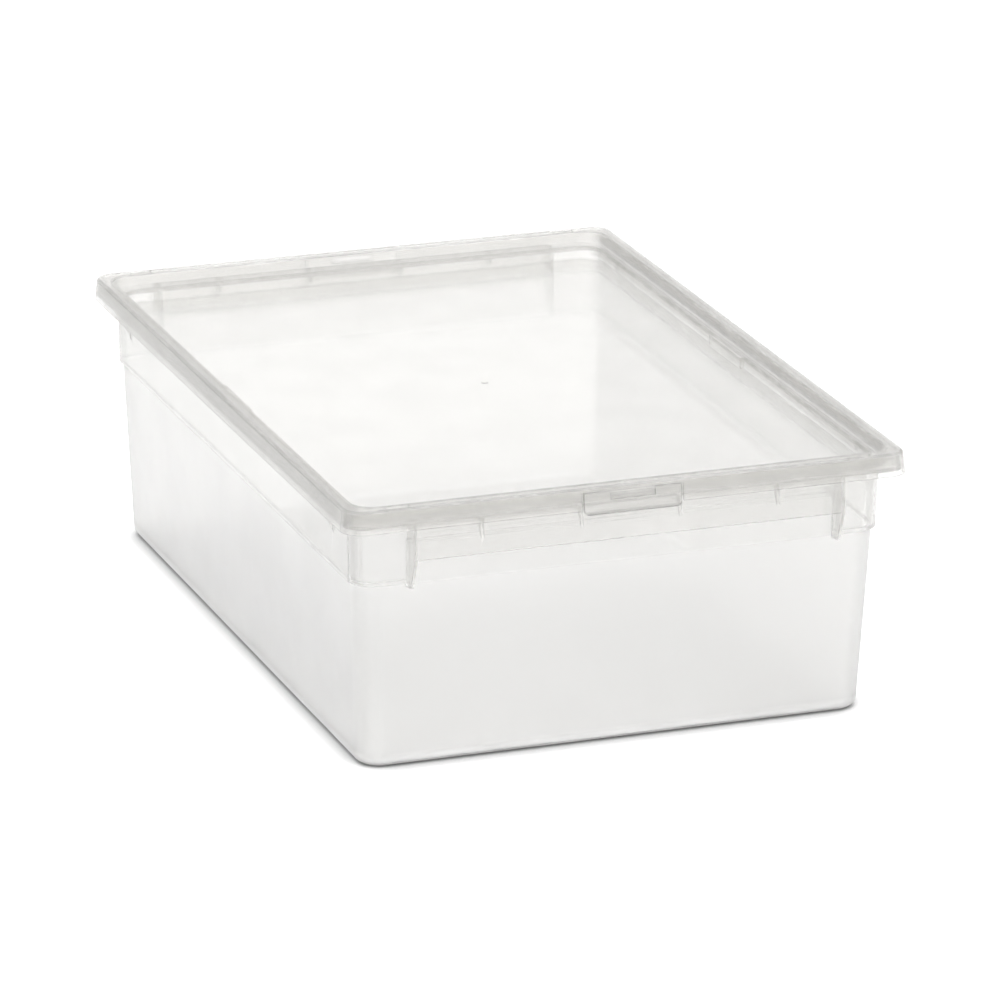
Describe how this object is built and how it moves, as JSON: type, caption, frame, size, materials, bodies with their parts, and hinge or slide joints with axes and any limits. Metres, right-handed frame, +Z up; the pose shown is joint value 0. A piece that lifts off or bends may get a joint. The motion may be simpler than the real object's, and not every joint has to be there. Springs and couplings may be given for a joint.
{
  "type": "lidded stacking storage bin",
  "caption": "Clear rectangular storage bin with tapered walls, stepped rim, hand grips and a recessed clip-on lid that seats the bin above.",
  "frame": {"origin": "centre of the bin's underside", "axes": "+Z up, +Y towards the rear short side, +X across the bin"},
  "size_m": [0.278, 0.3976, 0.131],
  "materials": {
    "bin_plastic": "satin natural polypropylene, translucent",
    "lid_plastic": "gloss natural polypropylene, translucent"
  },
  "bodies": {
    "bin": {"bin_body": "bin_plastic"},
    "lid": {"lid": "lid_plastic"},
    "front_clip": {"front_clip": "lid_plastic"},
    "rear_clip": {"rear_clip": "lid_plastic"}
  },
  "joints": [
    {"name": "lid_lift", "type": "slide", "parent": "bin", "child": "lid", "axis": [0, 0, 1], "range_m": [0, 0.15]},
    {"name": "front_clip_flex", "type": "hinge", "parent": "lid", "child": "front_clip", "pos_m": [0, -0.19724, 0.1284], "axis": [-1, 0, 0], "range_deg": [0, 20]},
    {"name": "rear_clip_flex", "type": "hinge", "parent": "lid", "child": "rear_clip", "pos_m": [0, 0.19724, 0.1284], "axis": [1, 0, 0], "range_deg": [0, 20]}
  ]
}
